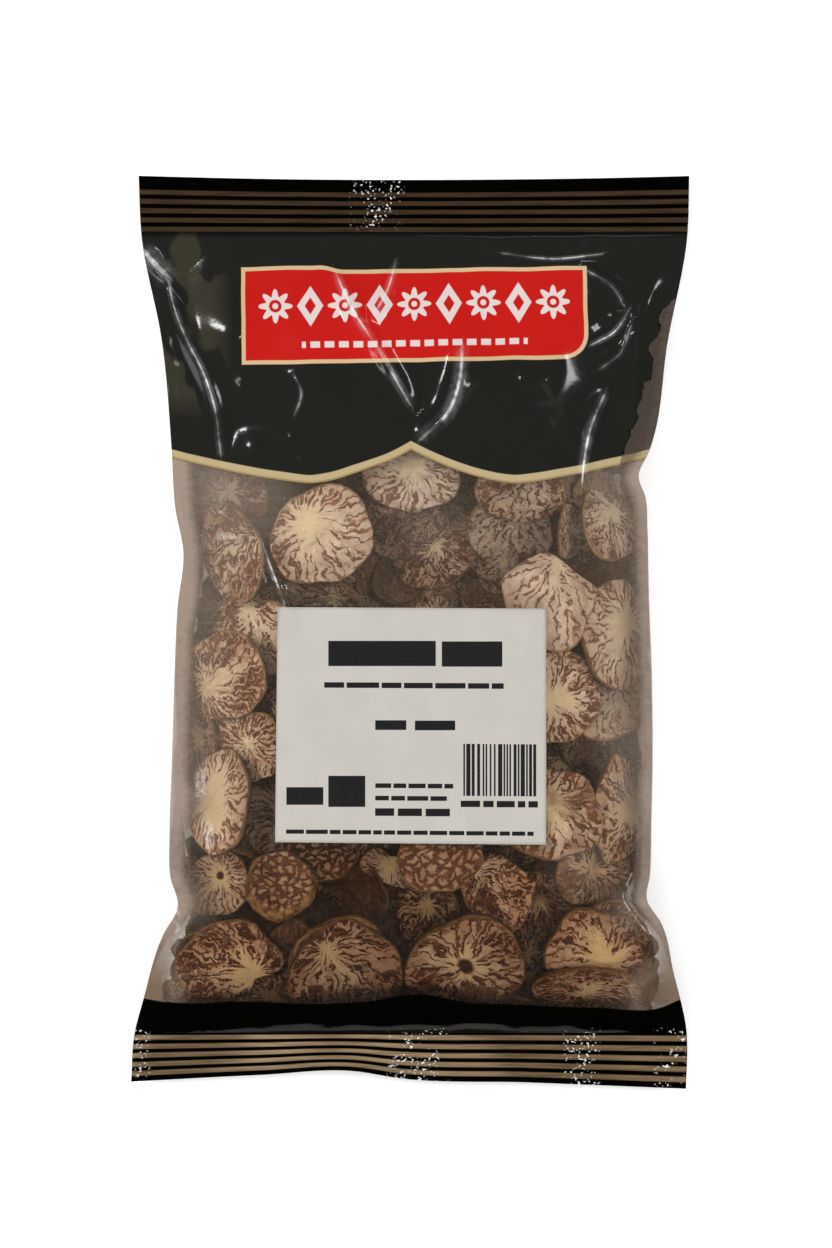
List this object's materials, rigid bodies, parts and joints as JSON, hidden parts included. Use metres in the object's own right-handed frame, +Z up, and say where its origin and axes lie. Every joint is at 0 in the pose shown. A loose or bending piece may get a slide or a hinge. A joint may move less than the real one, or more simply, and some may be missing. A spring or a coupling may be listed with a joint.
{
  "type": "pouch of sliced betel nut",
  "caption": "Sealed clear-film pillow pouch of sliced dried betel nut, lying flat, with crimped header and foot seals, side ears and a square front label.",
  "frame": {"origin": "under the middle of the pouch's outline, on the surface it lies on", "axes": "+Y runs along the pouch to the header seal, +X across it to the right of the shown side, +Z up out of the front"},
  "size_m": [0.1338, 0.2188, 0.0277],
  "materials": {
    "clear_film": "thin clear glossy film over brown nut slices, with black, gold and red print",
    "label_paper": "off-white coated paper sticker with plain dark bars",
    "nut_flesh": "dry cut nut, cream with dark red-brown branching veins and brown rims",
    "nut_skin": "dry matt brown nut skin with fine pale net lines"
  },
  "bodies": {
    "root": {"pouch": "clear_film", "label": "label_paper"}
  },
  "joints": []
}
